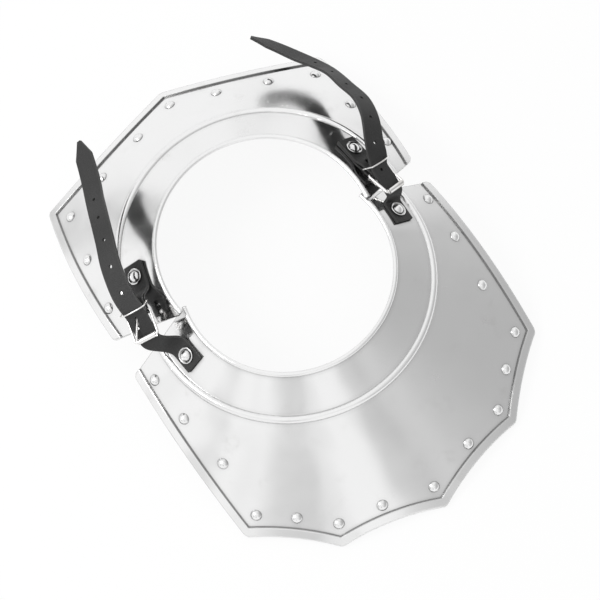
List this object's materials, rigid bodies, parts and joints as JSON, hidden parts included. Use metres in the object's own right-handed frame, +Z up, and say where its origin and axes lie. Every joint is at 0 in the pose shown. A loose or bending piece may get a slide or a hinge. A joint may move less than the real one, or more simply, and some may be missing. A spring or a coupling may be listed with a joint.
{
  "type": "gorget",
  "caption": "Plate gorget: domed front and back plates with rolled collars and scalloped riveted borders, joined at the shoulders by leather straps with roller buckles.",
  "frame": {"origin": "on the floor below the middle of the bounding box of the whole gorget", "axes": "+Z up, the front plate towards -Y and the back plate towards +Y, left_ parts towards -X"},
  "size_m": [0.2626, 0.3798, 0.0887],
  "materials": {
    "polished_steel": "polished",
    "rivet_steel": "polished",
    "nickel_plate": "bright plated wire",
    "black_leather": "matt grained"
  },
  "bodies": {
    "back": {"back_plate": "polished_steel", "back_rivets": "rivet_steel", "left_chape": "black_leather", "left_chape_rivet": "rivet_steel", "left_chape_washer": "rivet_steel", "left_strap_tail": "black_leather", "right_chape": "black_leather", "right_chape_rivet": "rivet_steel", "right_chape_washer": "rivet_steel", "right_strap_tail": "black_leather"},
    "front": {"front_plate": "polished_steel", "front_rivets": "rivet_steel", "left_strap_root": "black_leather", "left_strap_rivet": "rivet_steel", "left_strap_washer": "rivet_steel", "right_strap_root": "black_leather", "right_strap_rivet": "rivet_steel", "right_strap_washer": "rivet_steel"},
    "left_frame": {"left_buckle_frame": "nickel_plate"},
    "left_roller": {"left_roller": "nickel_plate"},
    "left_tongue": {"left_tongue": "nickel_plate"},
    "left_keeper": {"left_keeper": "nickel_plate"},
    "right_frame": {"right_buckle_frame": "nickel_plate"},
    "right_roller": {"right_roller": "nickel_plate"},
    "right_tongue": {"right_tongue": "nickel_plate"},
    "right_keeper": {"right_keeper": "nickel_plate"}
  },
  "joints": [
    {"name": "front_opening", "type": "hinge", "parent": "back", "child": "front", "pos_m": [-0.10631, 0.01605, 0.06891], "axis": [-0.9984, 0.051, 0.0233], "range_deg": [0, 20]},
    {"name": "left_buckle_swing", "type": "hinge", "parent": "back", "child": "left_frame", "pos_m": [-0.10287, 0.03431, 0.07222], "axis": [-0.8964, 0.2368, -0.3746], "range_deg": [0, 2]},
    {"name": "left_roller_spin", "type": "hinge", "parent": "left_frame", "child": "left_roller", "pos_m": [-0.10766, 0.01644, 0.07238], "axis": [0.8964, -0.2368, 0.3746], "continuous": true},
    {"name": "left_tongue_swing", "type": "hinge", "parent": "left_frame", "child": "left_tongue", "pos_m": [-0.10287, 0.03431, 0.07222], "axis": [-0.8964, 0.2368, -0.3746], "range_deg": [0, 3]},
    {"name": "left_keeper_tilt", "type": "hinge", "parent": "back", "child": "left_keeper", "pos_m": [-0.10164, 0.04071, 0.07197], "axis": [0.8964, -0.2368, 0.3746], "range_deg": [-10, 5]},
    {"name": "right_buckle_swing", "type": "hinge", "parent": "back", "child": "right_frame", "pos_m": [0.09445, 0.02427, 0.06729], "axis": [-0.8607, -0.1552, 0.4848], "range_deg": [0, 2]},
    {"name": "right_roller_spin", "type": "hinge", "parent": "right_frame", "child": "right_roller", "pos_m": [0.09782, 0.00608, 0.06745], "axis": [0.8607, 0.1552, -0.4848], "continuous": true},
    {"name": "right_tongue_swing", "type": "hinge", "parent": "right_frame", "child": "right_tongue", "pos_m": [0.09445, 0.02427, 0.06729], "axis": [-0.8607, -0.1552, 0.4848], "range_deg": [0, 2]},
    {"name": "right_keeper_tilt", "type": "hinge", "parent": "back", "child": "right_keeper", "pos_m": [0.09421, 0.03083, 0.0667], "axis": [0.8607, 0.1552, -0.4848], "range_deg": [-5, 5]}
  ]
}
